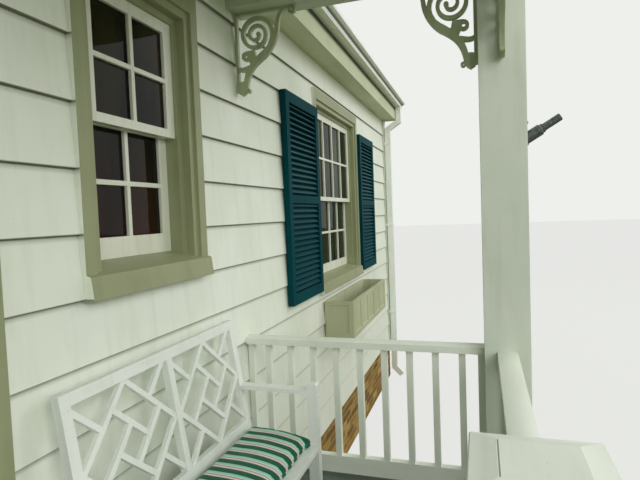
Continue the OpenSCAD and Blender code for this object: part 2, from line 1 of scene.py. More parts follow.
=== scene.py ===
# %% [markdown]
# # An entrance porch with the front wall of its house
#
# The porch belongs to a clapboard house: square posts, plain rails, scroll-sawn brackets, a gabled roof
# and a small garden bench. The solid model already gives every board its place, so this file dresses it:
# it rounds the edges that catch the light, lays the bricks, floor boards and shingles one by one, stuffs
# the cushion, and mixes the paints.

# %% Load the frame
import math

import bpy
from mathutils import Matrix, Vector


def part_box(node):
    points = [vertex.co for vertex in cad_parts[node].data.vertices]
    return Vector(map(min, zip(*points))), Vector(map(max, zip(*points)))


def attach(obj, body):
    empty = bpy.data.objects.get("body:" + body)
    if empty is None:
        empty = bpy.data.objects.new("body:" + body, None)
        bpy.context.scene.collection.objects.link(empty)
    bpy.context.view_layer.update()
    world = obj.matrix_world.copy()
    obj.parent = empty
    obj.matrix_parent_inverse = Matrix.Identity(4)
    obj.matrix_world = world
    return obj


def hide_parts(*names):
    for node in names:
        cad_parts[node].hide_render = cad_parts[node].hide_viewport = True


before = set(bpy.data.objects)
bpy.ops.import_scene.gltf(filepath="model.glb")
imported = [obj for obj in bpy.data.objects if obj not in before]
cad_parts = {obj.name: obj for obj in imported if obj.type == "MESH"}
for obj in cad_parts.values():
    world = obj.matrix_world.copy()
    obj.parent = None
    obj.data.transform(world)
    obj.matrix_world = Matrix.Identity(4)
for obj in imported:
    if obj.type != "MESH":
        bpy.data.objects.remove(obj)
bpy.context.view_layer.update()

# %% [markdown]
# ## Small tools
#
# Carpenters measure from one point. Here that point is the middle of the front door, at the front edge of
# the clapboards, on the ground, in millimetres. One helper turns such a place into the scene's metres.
# An operator works on everything that is selected, so another helper selects one piece and nothing else.

# %% Places and selection
MIDDLE = Vector((2083.5, -1194.5, 0))


def at(x, y, z):
    """A place on the plan, in millimetres from the door's middle, as a point of the scene in metres."""
    return (Vector((x, y, z)) - MIDDLE) / 1000


def only(piece):
    """Selects one piece, and makes it the one that operators work on."""
    bpy.ops.object.select_all(action="DESELECT")
    piece.select_set(True)
    bpy.context.view_layer.objects.active = piece


def choose(piece, kind, test):
    """In edit mode, selects the vertices, edges or faces that pass the test. It gets each part and its ends."""
    only(piece)
    bpy.ops.object.mode_set(mode="EDIT")
    bpy.ops.mesh.select_mode(type=kind)
    bpy.ops.mesh.select_all(action="DESELECT")
    bpy.ops.object.mode_set(mode="OBJECT")
    mesh = piece.data
    parts = {"VERT": mesh.vertices, "EDGE": mesh.edges, "FACE": mesh.polygons}[kind]
    for part in parts:
        if kind == "VERT":
            ends = [part.co]
        else:
            ends = [mesh.vertices[v].co for v in part.vertices]
        part.select = test(part, ends)
    bpy.ops.object.mode_set(mode="EDIT")


def choose_all(piece):
    """Goes to edit mode with the whole mesh of a piece selected."""
    only(piece)
    bpy.ops.object.mode_set(mode="EDIT")
    bpy.ops.mesh.select_all(action="SELECT")


def move_vertices(piece, test, move):
    """Moves those vertices of a piece whose places pass the test, by a vector in metres."""
    choose(piece, "VERT", lambda vertex, ends: test(vertex.co))
    bpy.ops.transform.translate(value=move)
    bpy.ops.object.mode_set(mode="OBJECT")


def apply_modifier(piece, kind, **settings):
    """Adds a modifier with these settings and applies it at once."""
    only(piece)
    modifier = piece.modifiers.new(kind.title(), kind)
    for key, value in settings.items():
        setattr(modifier, key, value)
    bpy.ops.object.modifier_apply(modifier=modifier.name)


# %% [markdown]
# A sawn board never has a knife-sharp edge: sanding and paint round it by a millimetre or two, and that
# thin rounding is what shows as a bright line along every rail. A bevel on all sharp edges gives it, and
# weighted normals keep the wide faces flat beside it.

# %% Rounded edges
def keep_ridges(piece, low=9, high=40):
    """Marks shallow ridges between two angles as sharp, so that smooth shading doesn't melt them away."""
    only(piece)
    bpy.ops.object.mode_set(mode="EDIT")
    bpy.ops.mesh.select_mode(type="EDGE")
    for angle, clear in ((low, False), (high, True)):
        bpy.ops.mesh.select_all(action="DESELECT")
        bpy.ops.mesh.edges_select_sharp(sharpness=math.radians(angle))
        bpy.ops.mesh.mark_sharp(clear=clear)
    bpy.ops.object.mode_set(mode="OBJECT")


def smooth(piece):
    """Smooth shading that keeps the wide faces flat and the corners above 42 degrees sharp."""
    only(piece)
    bpy.ops.object.shade_smooth_by_angle(angle=math.radians(42))
    apply_modifier(piece, "WEIGHTED_NORMAL", keep_sharp=True)
    return piece


def round_edges(piece, radius, segments=2, angle=32, ridges=False):
    """Rounds every edge sharper than the angle by a radius in millimetres."""
    if ridges:
        keep_ridges(piece)
        angle = 41
    apply_modifier(piece, "BEVEL", width=radius / 1000, segments=segments, limit_method="ANGLE",
                   angle_limit=math.radians(angle), use_clamp_overlap=True)
    return smooth(piece)


def dressed_copy(node, name):
    """A separate copy of a node of the solid model, with its loose triangles joined to whole faces."""
    piece = bpy.data.objects.new(name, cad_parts[node].data.copy())
    bpy.context.scene.collection.objects.link(piece)
    piece.data.materials.clear()
    only(piece)
    if piece.data.has_custom_normals:
        bpy.ops.mesh.customdata_custom_splitnormals_clear()
    choose_all(piece)
    bpy.ops.mesh.remove_doubles(threshold=0.00005)
    bpy.ops.mesh.dissolve_limited(angle_limit=math.radians(0.5))
    bpy.ops.mesh.normals_make_consistent(inside=False)
    bpy.ops.object.mode_set(mode="OBJECT")
    return piece


def board(name, low, high):
    """A plain board between two corners given on the plan, in millimetres. It is always shaped further."""
    bpy.ops.object.select_all(action="DESELECT")
    size = Vector(high) - Vector(low)
    bpy.ops.mesh.primitive_cube_add(size=1, location=at(*((Vector(low) + Vector(high)) / 2)), scale=size / 1000)
    piece = bpy.context.active_object
    piece.name = name
    bpy.ops.object.transform_apply()
    return piece


def repeat(piece, count, step):
    """Repeats a piece count times, each moved by the step in millimetres."""
    if count > 1:
        apply_modifier(piece, "ARRAY", count=count, use_relative_offset=False, use_constant_offset=True,
                       constant_offset_displace=Vector(step) / 1000)
    return piece


def join(name, pieces):
    """Makes one object of several, with one mesh."""
    bpy.ops.object.select_all(action="DESELECT")
    for piece in pieces:
        piece.select_set(True)
    bpy.context.view_layer.objects.active = pieces[0]
    bpy.ops.object.join()
    pieces[0].name = name
    return pieces[0]


def saw(piece, low, high):
    """Saws a narrow slot into a piece, as wide and deep as the board between two corners on the plan."""
    blade = board("saw_blade", low, high)
    apply_modifier(piece, "BOOLEAN", object=blade, operation="DIFFERENCE", solver="EXACT")
    bpy.data.objects.remove(blade)
    only(piece)
    bpy.ops.mesh.customdata_custom_splitnormals_clear()
    return smooth(piece)


def turned(name, centre, radius, steps):
    """A turned form that points to the yard: the front of a disc is pushed out and resized step by step, each
    step a distance in millimetres and a factor."""
    bpy.ops.object.select_all(action="DESELECT")
    bpy.ops.mesh.primitive_cylinder_add(vertices=32, radius=radius / 1000, depth=0.003, location=at(*centre),
                                        rotation=(math.pi / 2, 0, 0))
    piece = bpy.context.active_object
    piece.name = name
    bpy.ops.object.transform_apply()
    choose(piece, "FACE", lambda face, ends: face.normal.y < -0.9)
    for push, factor in steps:
        bpy.ops.mesh.extrude_region_move(TRANSFORM_OT_translate={"value": (0, -push / 1000, 0)})
        bpy.ops.transform.resize(value=(factor, 1, factor), center_override=at(*centre))
    bpy.ops.object.mode_set(mode="OBJECT")
    only(piece)
    bpy.ops.object.shade_smooth_by_angle(angle=math.radians(40))
    return piece


def finish(piece, node, slot, *materials):
    """Paints a finished piece, fixes it to the house, and lets it stand for its node of the solid model."""
    for material in materials:
        piece.data.materials.append(material)
    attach(piece, "root")
    if node:
        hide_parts(node)
    return piece


# %% [markdown]
# ## The finishes
#
# Every finish starts from what the real one is: paint on sawn wood, fired clay, asphalt with stone
# granules, woven cotton. Colours are written as on a paint card, and one function turns them to the
# linear values that the shader works with.

# %% Colour and node helpers
def linear(code):
    """An sRGB hex colour as linear red, green, blue and alpha."""
    parts = [int(code[i:i + 2], 16) / 255 for i in (1, 3, 5)]
    return [c / 12.92 if c <= 0.04045 else ((c + 0.055) / 1.055) ** 2.4 for c in parts] + [1.0]


def add(tree, kind, values=None, output=0):
    """Adds a node and gives back one of its outputs. Each value goes to the setting or the input of its key: a
    socket is linked, a hex code turns into its colour, and anything else is set as it is."""
    node = tree.nodes.new("ShaderNode" + kind)
    for key, value in (values or {}).items():
        if isinstance(value, bpy.types.NodeSocket):
            tree.links.new(value, node.inputs[key])
        elif isinstance(key, str) and hasattr(node, key):
            setattr(node, key, value)
        else:
            node.inputs[key].default_value = linear(value) if isinstance(value, str) else value
    return node.outputs[output]


def start_material(name, **values):
    """A new material with constant values on its shader, and the piece's own coordinates to build on."""
    material = bpy.data.materials.new(name)
    material.use_nodes = True
    tree = material.node_tree
    shader = tree.nodes["Principled BSDF"]
    for key, value in values.items():
        shader.inputs[key.replace("_", " ")].default_value = value
    return material, tree, shader, add(tree, "TexCoord", output="Object")


# %% [markdown]
# A surface is seldom one colour. The first colour covers everything, and others are laid over it where a
# pattern is strong: dirt where rain runs, soot in the pits of a brick. The same patterns also raise or
# lower the surface a little, in steps of tenths of a millimetre up to a few millimetres.

# %% Layers of colour and of height
def lay_colours(tree, shader, colour, *layers):
    """Gives the shader a colour with others over it. A layer has a pattern, the two values of the pattern between
    which the layer comes in, its largest share, and its colour."""
    for pattern, low, high, most, shade in layers:
        share = add(tree, "MapRange", {0: pattern, 1: low, 2: high, 4: most})
        colour = add(tree, "Mix", {"data_type": "RGBA", 0: share, 6: colour, 7: shade}, 2)
    tree.links.new(colour, shader.inputs["Base Color"])


def raise_surface(tree, shader, *layers):
    """Stacks height layers, each a pattern and its height in millimetres, into the shader's normal."""
    below = {}
    for pattern, height in layers:
        settings = {"Strength": 1.0, "Distance": height / 1000, "Height": pattern}
        below = {"Normal": add(tree, "Bump", {**settings, **below})}
    tree.links.new(below["Normal"], shader.inputs["Normal"])


# %% [markdown]
# ### Oil paint on wood
#
# Most of what shows is brushed exterior paint: it levels out to a satin skin, keeps faint brush lines
# along the board, yellows and greys unevenly, and gathers dirt in long streaks where rain runs down.
# One recipe does this for every colour. The brush lines follow the board, so it takes the axis that
# the wood runs along.

# %% Paint recipe
BRUSH = {"x": (1 / 40, 1, 1), "y": (1, 1 / 40, 1), "z": (1, 1, 1 / 40)}
BOARD = 216


def brushed_paint(name, fresh, aged, grime, along="x", roughness=0.42, dirt=0.5, brush=0.12, gloss=0.5,
                  runs=(1, 1, 9), laps=None, under_gutter_shadow=None, sky_sheen=None):
    """Brushed satin paint on boards that run along x, y or z. Dirt streaks are longer along the axes where runs is
    above 1. Where laps is the height of a lowest clapboard's edge in millimetres, a painted shade darkens each
    board just under the next one and along its own lower edge, where the lap throws shade. Where
    under_gutter_shadow is a pair of heights, a painted shadow darkens the paint from the lower to the upper, as
    under a gutter. Where sky_sheen is a colour, faces that look at the sky, more so high up, get it as a painted
    sheen of the sky."""
    material, tree, shader, place = start_material(name, IOR=1.5, Specular_IOR_Level=gloss)
    height = add(tree, "SeparateXYZ", {0: place}, 2)
    run = add(tree, "Mapping", {"Vector": place, "Scale": [1 / r for r in runs]})
    stroke = add(tree, "Mapping", {"Vector": place, "Scale": BRUSH[along]})
    blotch = add(tree, "TexNoise", {"Vector": place, "Scale": 1000 / 420, "Detail": 4})
    streaks = add(tree, "TexNoise", {"Vector": run, "Scale": 1000 / 60, "Detail": 4, "Roughness": 0.6})
    specks = add(tree, "TexNoise", {"Vector": place, "Scale": 1000 / 14, "Detail": 2})
    layers = [(blotch, 0.35, 0.68, 1, aged), (streaks, 0.5, 0.85, dirt, grime), (specks, 0.72, 0.76, dirt, grime)]
    # Painted shade under each clapboard's lap and along its own lower edge, where the lap throws shade.
    if laps is not None:
        up, shadow = height, 0
        for step, value in (("SUBTRACT", laps / 1000), ("DIVIDE", BOARD / 1000), ("FRACT", 0)):
            up = add(tree, "Math", {"operation": step, 0: up, 1: value})
        for start, end, most in ((0.90, 0.985, 0.5), (0.965, 0.985, 0.85), (0.020, 0.004, 0.9)):
            edge = add(tree, "MapRange", {0: up, 1: start, 2: end, 4: most})
            shadow = add(tree, "Math", {"operation": "MAXIMUM", 0: shadow, 1: edge})
        layers.append((shadow, 0, 1, 1, "#666b4f"))
    # A painted shadow under a gutter.
    if under_gutter_shadow:
        ragged = add(tree, "Math", {"operation": "MULTIPLY_ADD", 0: streaks, 1: 0.012, 2: height})
        layers.append((ragged, under_gutter_shadow[0] / 1000, under_gutter_shadow[1] / 1000, 1, "#2b3016"))
    # A painted sheen of the sky on upward faces, stronger higher up.
    if sky_sheen:
        upward = add(tree, "SeparateXYZ", {0: add(tree, "NewGeometry", output="Normal")}, 2)
        flat = add(tree, "MapRange", {0: upward, 1: 0.3, 2: 0.6})
        high = add(tree, "MapRange", {0: height, 1: 2.1, 2: 2.8, 3: 0.1, 4: 0.75})
        layers.append((add(tree, "Math", {"operation": "MULTIPLY", 0: flat, 1: high}), 0, 1, 1, sky_sheen))
    lay_colours(tree, shader, fresh, *layers)
    lines = add(tree, "TexNoise", {"Vector": stroke, "Scale": 1000 / 2.6, "Detail": 2})
    waves = add(tree, "TexNoise", {"Vector": stroke, "Scale": 1000 / 90, "Detail": 2})
    satin = add(tree, "MapRange", {0: lines, 1: 0.3, 2: 0.7, 3: roughness - 0.05, 4: roughness + 0.09})
    tree.links.new(satin, shader.inputs["Roughness"])
    raise_surface(tree, shader, (waves, 1.2), (lines, brush))
    return material


# %% Whites, khaki and teal
# Oil paint on the wall and trim: a soft satin white with a green tinge, streaked where rain runs. The
# clapboards also carry a painted shade line under each lap.
siding_with_lap_shade = brushed_paint("clapboard oil paint with painted lap shade", "#f0f4e8", "#e6ecdc", "#bfc4ae", "x", 0.45, 0.3, 0.16, laps=520)
gable_with_lap_shade = brushed_paint("gable oil paint with painted lap shade", "#f0f4e8", "#e6ecdc", "#bfc4ae", "x", 0.45, 0.3, 0.16, laps=3530)
trim_x = brushed_paint("trim paint along x", "#edf1e6", "#e1e7d9", "#b0b7a1", "x", 0.38, 0.3, runs=(12, 1, 5))
# Eave paint: an olive tone as painted shade, and a painted shadow band just under the gutter.
eave_with_painted_shade = brushed_paint("eave paint with painted shade", "#cbd1ae", "#bec5a0", "#868d68", "x", 0.42, 0.4, runs=(12, 1, 3),
                       under_gutter_shadow=(3642, 3670))
trim_y = brushed_paint("trim paint along y", "#edf1e6", "#e1e7d9", "#b0b7a1", "y", 0.38, 0.3, runs=(1, 12, 5))
# The side beams get a darker, olive white as painted shade under the porch roof.
beam_painted_shade = brushed_paint("beam paint with painted shade", "#cdd3bc", "#bfc6ab", "#8b9274", "y", 0.4, 0.45, runs=(1, 12, 5))
# The scroll brackets get a dark olive white as painted shade under the porch roof.
bracket_painted_shade = brushed_paint("scroll bracket paint with painted shade", "#b2ba98", "#a1a986", "#6c7454", "z", 0.4, 0.6)
# Upright trim gets a greyer white than the other trim, as painted shade on the posts and corner board.
trim_z_painted_shade = brushed_paint("trim paint along z with painted shade", "#dce2d4", "#d0d8c8", "#a2a993", "z", 0.38, 0.3)
# Gloss paint on sashes and bench: harder and shinier than the wall, so its edges draw bright lines.
sash_paint = brushed_paint("sash gloss paint", "#edefe2", "#e0e3d0", "#a8a688", "z", 0.28, 0.35)
bench_paint = brushed_paint("bench gloss paint", "#f1f4ee", "#e6ece4", "#b4bcaa", "x", 0.3, 0.3)
# Khaki on the casings and the box, and dark teal on the shutters, with hardly any shine left. The louvres'
# upward faces, high up, get a lighter blue grey as a painted sheen of the sky.
khaki_paint = brushed_paint("khaki exterior paint", "#9ea37f", "#939973", "#777a5c", "z", 0.42, 0.35)
# The box's khaki is much lighter than the casings', as painted light on a box out in the open.
box_painted_light = brushed_paint("khaki box paint with painted light", "#c2c6a6", "#b6ba98", "#898b6e", "x", 0.42, 0.45)
teal_paint = brushed_paint("teal shutter paint with painted sky sheen", "#033b45", "#07454b", "#184a4a", "x", 0.55, 0.4, gloss=0.04,
                           sky_sheen="#5b7f86")
# Floor enamel: grey green, worn by feet, with a low sheen.
floor_paint = brushed_paint("porch floor enamel", "#69756a", "#5f6a60", "#4b4f44", "y", 0.36, 0.6, 0.2)
print("materials so far:", len(bpy.data.materials))

# %% [markdown]
# ### Brick and mortar
#
# Pressed clay bricks vary from one to the next, because each sat elsewhere in the kiln. The shader knows
# each loose island of a mesh, so every brick draws its own shade, and the face gets sand pits about
# 3 mm wide. The mortar is grey, dull and coarse.

# %% Brick and mortar
def island_shade(tree, *shades):
    """A colour for each loose island of the mesh, picked from evenly spaced hex codes."""
    picked = add(tree, "ValToRGB", {0: add(tree, "NewGeometry", output="Random Per Island")})
    stops = picked.node.color_ramp.elements
    while len(stops) < len(shades):
        stops.new(0.5)
    for index, shade in enumerate(shades):
        stops[index].position = index / (len(shades) - 1)
        stops[index].color = linear(shade)
    return picked


# Fired clay: dull and sandy, tan to brown from one brick to the next, with dark smudges from the kiln.
brick_clay, tree, shader, place = start_material("pressed clay brick", IOR=1.5, Roughness=0.88)
clay = island_shade(tree, "#74561f", "#a98643", "#82632a", "#b8965a", "#654a1c", "#98773a")
smudges = add(tree, "TexNoise", {"Vector": place, "Scale": 1000 / 45, "Detail": 5, "Roughness": 0.65})
pits = add(tree, "TexNoise", {"Vector": place, "Scale": 1000 / 3.2, "Detail": 3, "Roughness": 0.7})
lay_colours(tree, shader, clay, (smudges, 0.5, 0.8, 0.6, "#5f4a2c"), (pits, 0.58, 0.75, 0.5, "#4f3b26"))
raise_surface(tree, shader, (smudges, 1.5), (pits, 0.8))

# Cement and coarse sand: grey, dull and gritty, so that the joints recede.
mortar, tree, shader, place = start_material("cement mortar", IOR=1.5, Roughness=0.94)
grit = add(tree, "TexNoise", {"Vector": place, "Scale": 1000 / 2.4, "Detail": 3, "Roughness": 0.7})
stain = add(tree, "TexNoise", {"Vector": place, "Scale": 1000 / 160, "Detail": 4})
lay_colours(tree, shader, "#aca386", (stain, 0.35, 0.7, 1, "#8c8468"))
raise_surface(tree, shader, (stain, 2), (grit, 0.9))
print("masonry:", brick_clay.name, "and", mortar.name)

# %% [markdown]
# ### Plaster, shingles, enamel, cast metal and glass
#
# The back of the wall is plain plaster with long trowel waves. Asphalt shingles are felt with stone
# granules pressed in, each tab a little different, streaked by weather. The gutter is baked enamel,
# smoother than brushed paint, with a painted shadow line along it. The flag holder is grey cast metal. The
# windows look into a dark room, which is painted onto their panes as near black painted shade, with a thin
# sheen of float glass; the end window's panes carry a painted green reflection instead.

# %% Plaster, shingles and enamel
# Trowelled plaster: matt and off-white, with wide soft waves.
plaster, tree, shader, place = start_material("trowelled plaster", IOR=1.5, Roughness=0.85)
wide = add(tree, "Mapping", {"Vector": place, "Scale": (0.5, 0.5, 1)})
trowel = add(tree, "TexNoise", {"Vector": wide, "Scale": 1000 / 260, "Detail": 4})
sand = add(tree, "TexNoise", {"Vector": place, "Scale": 1000 / 2.5, "Detail": 2})
lay_colours(tree, shader, "#ddd9cd", (trowel, 0.3, 0.7, 1, "#cfcabb"))
raise_surface(tree, shader, (trowel, 3), (sand, 0.3))

# Asphalt shingles: dull grey, rough with granules about 3 mm wide, each tab a little lighter or darker.
shingle, tree, shader, place = start_material("asphalt shingle", IOR=1.5, Roughness=0.93)
tab = island_shade(tree, "#55534e", "#67645d", "#5d5a55", "#716d64", "#4e4c48", "#625f59")
granules = add(tree, "TexVoronoi", {"Vector": place, "Scale": 1000 / 3.0})
weather = add(tree, "TexNoise", {"Vector": place, "Scale": 1000 / 500, "Detail": 4})
lay_colours(tree, shader, tab, (granules, 0.1, 0.7, 0.3, "#3b3a38"), (weather, 0.5, 0.75, 0.4, "#454a3d"))
raise_surface(tree, shader, (granules, -1.0))

# Baked enamel on sheet metal: smooth and bright, dusty where water dries, with one painted shadow line along
# the gutter, where its profile steps in.
SHADOW_LINE_LOW, SHADOW_LINE_HIGH = (3.711, 3.717), (3.730, 3.722)
enamel, tree, shader, place = start_material("baked enamel", IOR=1.5, Coat_Weight=0.2, Coat_Roughness=0.2)
tall = add(tree, "Mapping", {"Vector": place, "Scale": (1, 1, 1 / 6)})
dust = add(tree, "TexNoise", {"Vector": tall, "Scale": 1000 / 60, "Detail": 4})
waves = add(tree, "TexNoise", {"Vector": place, "Scale": 1000 / 220, "Detail": 1})
height = add(tree, "SeparateXYZ", {0: place}, 2)
under = add(tree, "MapRange", {0: height, 1: SHADOW_LINE_LOW[0], 2: SHADOW_LINE_LOW[1], 4: 0.8})
over = add(tree, "MapRange", {0: height, 1: SHADOW_LINE_HIGH[0], 2: SHADOW_LINE_HIGH[1]})
shadow_line = add(tree, "Math", {"operation": "MULTIPLY", 0: under, 1: over})
lay_colours(tree, shader, "#f6faf3", (dust, 0.45, 0.75, 0.3, "#ccd3c0"), (shadow_line, 0, 1, 1, "#4b5138"))
worn = add(tree, "MapRange", {0: dust, 1: 0.3, 2: 0.8, 3: 0.26, 4: 0.45})
tree.links.new(worn, shader.inputs["Roughness"])
raise_surface(tree, shader, (waves, 1.0))

# %% Cast metal and window glass
# Cast metal left bare: grey, half dull, with a fine grain and dark patches.
cast_metal, tree, shader, place = start_material("grey cast metal", Metallic=0.85)
patches = add(tree, "TexNoise", {"Vector": place, "Scale": 1000 / 12, "Detail": 4, "Roughness": 0.6})
grain = add(tree, "TexNoise", {"Vector": place, "Scale": 1000 / 1.6, "Detail": 2})
lay_colours(tree, shader, "#7d8586", (patches, 0.4, 0.7, 1, "#565d5e"))
worn = add(tree, "MapRange", {0: patches, 1: 0.3, 2: 0.7, 3: 0.38, 4: 0.62})
tree.links.new(worn, shader.inputs["Roughness"])
raise_surface(tree, shader, (grain, 0.15))


def room_glass(name, dark, lighter, curtain_shade, low_shade, gloss):
    """Float glass with its colours painted in: dark and lighter patches, the folds of a curtain, and a tint in the
    lower sash. It mirrors faintly and a little unevenly, as old panes do."""
    material, tree, shader, place = start_material(name, IOR=1.52, Roughness=0.03, Specular_IOR_Level=gloss)
    tall = add(tree, "Mapping", {"Vector": place, "Scale": (1, 1, 1 / 3.5)})
    folds = add(tree, "Mapping", {"Vector": place, "Scale": (1, 1, 1 / 20)})
    room = add(tree, "TexNoise", {"Vector": tall, "Scale": 1000 / 190, "Detail": 2})
    curtain = add(tree, "TexNoise", {"Vector": folds, "Scale": 1000 / 46, "Detail": 3})
    uneven = add(tree, "TexNoise", {"Vector": place, "Scale": 1000 / 300, "Detail": 1})
    lower = add(tree, "MapRange", {0: add(tree, "SeparateXYZ", {0: place}, 2), 1: 2.62, 2: 2.25})
    patchy = add(tree, "MapRange", {0: room, 1: 0.36, 2: 0.6, 3: 0.3})
    tint = add(tree, "Math", {"operation": "MULTIPLY", 0: lower, 1: patchy})
    lay_colours(tree, shader, dark, (room, 0.42, 0.62, 1, lighter), (curtain, 0.55, 0.75, 0.6, curtain_shade),
                (tint, 0, 1, 1, low_shade))
    raise_surface(tree, shader, (uneven, 1.2))
    return material


# The porch panes are painted near black as painted shade of the dark room behind them; the end window's dark greens
# are a painted reflection of greenery.
porch_glass_painted_shade = room_glass("porch window glass with painted room shade", "#0b0b05", "#24210f", "#30200c", "#301003", 0.16)
end_glass_painted_reflection = room_glass("end window glass with painted reflection", "#141c10", "#34412a", "#4e5a42", "#18240f", 0.05)
print("materials:", len(bpy.data.materials))

# %% [markdown]
# ## Siding, trim and openings
#
# These pieces already have the right shape in the solid model. Each gets a copy with rounded edges, and
# the radius follows the real board: clapboards and bench slats are sanded thin, posts are boxed from
# thicker boards.

# %% Rounded trim
def dress(node, name, radius, slot, *materials, segments=2, angle=32, ridges=False):
    """A rounded and painted copy that stands for its node of the solid model."""
    piece = round_edges(dressed_copy(node, name), radius, segments, angle, ridges)
    return finish(piece, node, slot, *materials)


dress("corner_board", "corner_board_trim", 2.5, "white_paint", trim_z_painted_shade)
dress("corner_posts", "boxed_corner_posts", 4, "white_paint", trim_z_painted_shade)
dress("side_rails", "side_railings", 3, "white_paint", trim_y, ridges=True)
dress("front_rails", "front_railings", 3, "white_paint", trim_x, ridges=True)
dress("side_beams", "side_beam_boxes", 4, "white_paint", beam_painted_shade)
dress("front_beam", "front_beam_box", 4, "white_paint", trim_x)
dress("scroll_brackets", "scroll_sawn_brackets", 1.2, "white_paint", bracket_painted_shade, segments=1, angle=50)
dress("floor_rim", "floor_rim_boards", 3, "white_paint", trim_x)
dress("step_stringers", "stair_stringers", 3, "white_paint", trim_y)
dress("step_risers", "stair_risers", 2, "white_paint", trim_x)
dress("step_treads", "stair_treads", 10, "floor_paint", floor_paint, segments=3)
dress("rake_boards", "rake_trim", 3, "white_paint", trim_x)
dress("gutter", "eave_gutter", 1.0, "gutter_metal", enamel)
dress("downspout", "corner_downspout", 6, "gutter_metal", enamel)
dress("door_sill", "door_threshold", 5, "white_paint", trim_x)
dress("window_box", "flower_box", 2.5, "khaki_paint", box_painted_light)
dress("porch_window_sashes", "porch_window_frames", 4, "sash_white", sash_paint)
dress("end_window_sashes", "end_window_frames", 4, "sash_white", sash_paint)
dress("bench_frame", "bench_legs_and_arms", 3, "bench_paint", bench_paint)
dress("bench_seat", "bench_seat_slats", 4, "bench_paint", bench_paint)

# %% [markdown]
# The front and underside of the house's eave get an olive paint as painted shade, with a painted shadow
# just under the gutter, and the board at its end stays white. On the left the porch's eave board runs on to the
# wall.

# %% Eaves
PORCH_EAVE, FASCIA, SOFFIT_Z, EAVE_Z = 2338, 19, 3530, 3780
house_eave = dress("house_cornice", "house_eave_boards", 2.5, "white_paint", eave_with_painted_shade, trim_y)
# Faces that look along x keep the plain trim white; all others take the eave's painted shade.
for face in house_eave.data.polygons:
    face.material_index = int(abs(face.normal.x) > 0.5)
porch_eave = round_edges(dressed_copy("porch_cornices", "porch_eave_boards"), 2.5)
last_board = board("left_eave_end", (-PORCH_EAVE, -170, SOFFIT_Z - 5), (FASCIA - PORCH_EAVE, 20, EAVE_Z - 1))
porch_eave = join("porch_eave_boards", [porch_eave, round_edges(last_board, 2.5)])
finish(porch_eave, "porch_cornices", "white_paint", trim_y)
print("house eave faces:", len(house_eave.data.polygons))

# %% [markdown]
# The front door has six sunk panels, and a raised field with eased edges stands in each of them.

# %% Front door
SILL, REVEAL, HALF_PANEL = 1080, 22, 140
door_paint = brushed_paint("front door gloss paint", "#0a4a54", "#0d5358", "#1c4f52", "z", 0.35, 0.3, gloss=0.3)
leaf = [round_edges(dressed_copy("door_leaf", "front_door"), 4)]
for foot, tall in ((130, 560), (690, 640), (1450, 470)):
    for side in (-205, 205):
        low = (side - HALF_PANEL + REVEAL, 66, SILL + foot + REVEAL)
        high = (side + HALF_PANEL - REVEAL, 75, SILL + foot + tall - REVEAL)
        leaf.append(round_edges(board("field", low, high), 6, 3))
finish(join("front_door", leaf), "door_leaf", "teal_paint", door_paint)
print("door fields:", len(leaf) - 1)

# %% [markdown]
# The bench back is one lattice of thin laths. Its lower rail reaches down to the cushion, so it is made a
# little taller along the lean.

# %% Bench back
LEAN, LONGER = 0.16, 0.010
bench_back = dressed_copy("bench_back", "bench_lattice_back")
foot = min(v.co.z for v in bench_back.data.vertices)
move_vertices(bench_back, lambda place: place.z < foot + 0.015, (0, -LEAN * LONGER, -LONGER))
finish(round_edges(bench_back, 2.2), "bench_back", "bench_paint", bench_paint)
print("bench back longer by", LONGER * 1000, "mm")

# %% [markdown]
# The shutters hang flat on the wall and never close, so each half is backed by a thin panel. That keeps the
# gaps between the louvres dark.

# %% Shutters with closed backs
STILE, FIELD_W, FIELD_H, LAP = 60, 560, 620, 3
shutters = round_edges(dressed_copy("shutters", "louvred_shutters"), 1.6)
panels = []
for left in (2690, 4810):
    for foot in (1750, 2425):
        low = (left + STILE - LAP, -6, foot - LAP)
        high = (left + STILE + FIELD_W + LAP, -3, foot + FIELD_H + LAP)
        panels.append(round_edges(board("panel", low, high), 1))
finish(join("louvred_shutters", [shutters, *panels]), "shutters", "teal_paint", teal_paint)
print("shutter panels:", len(panels))

# %% [markdown]
# The newel caps are boxes with a low hipped lid. The lid has dried and pulled away on its house side, which
# leaves a dark seam. A thin blade in a Boolean modifier saws it, after the bevel, so that the bevel's width
# isn't held back by the narrow slot.

# %% Newel caps with their seam
CAP_X, CAP_TOP, LID, CRACK_Y = 605, 1785, 82, -1269
newels = round_edges(dressed_copy("newels", "boxed_newels"), 4, ridges=True)
for side in (-CAP_X, CAP_X):
    saw(newels, (side - LID + 1, CRACK_Y - 1.5, CAP_TOP - 7), (side + LID - 1, CRACK_Y + 1.5, CAP_TOP + 5))
finish(newels, "newels", "white_paint", trim_x)
print("newel faces:", len(newels.data.polygons))

# %% [markdown]
# The flag holder is one casting: a plate, a boss and a tube that leans out over the yard. Four round-headed
# screws hold it. A screw head is turned here as a disc whose front is pushed out and narrowed in small steps.

# %% Flag holder
HOLDER_X, PLATE_Y, HOLDER_Z = 2079, -1455, 2618
ROUND_HEAD = [(1.2, 0.92), (1.0, 0.75), (0.6, 0.5)]
holder = round_edges(dressed_copy("flag_holder", "flagpole_holder"), 1.2)
heads = []
for side in (-21, 21):
    for up in (-49, 49):
        heads.append(turned("screw_head", (HOLDER_X + side, PLATE_Y, HOLDER_Z + up), 5.5, ROUND_HEAD))
finish(join("flagpole_holder", [holder, *heads]), "flag_holder", "grey_metal", cast_metal)
print("screw heads:", len(heads))

# %% [markdown]
# The door knob is turned the same way: a flat rose, a waisted neck and a round knob.

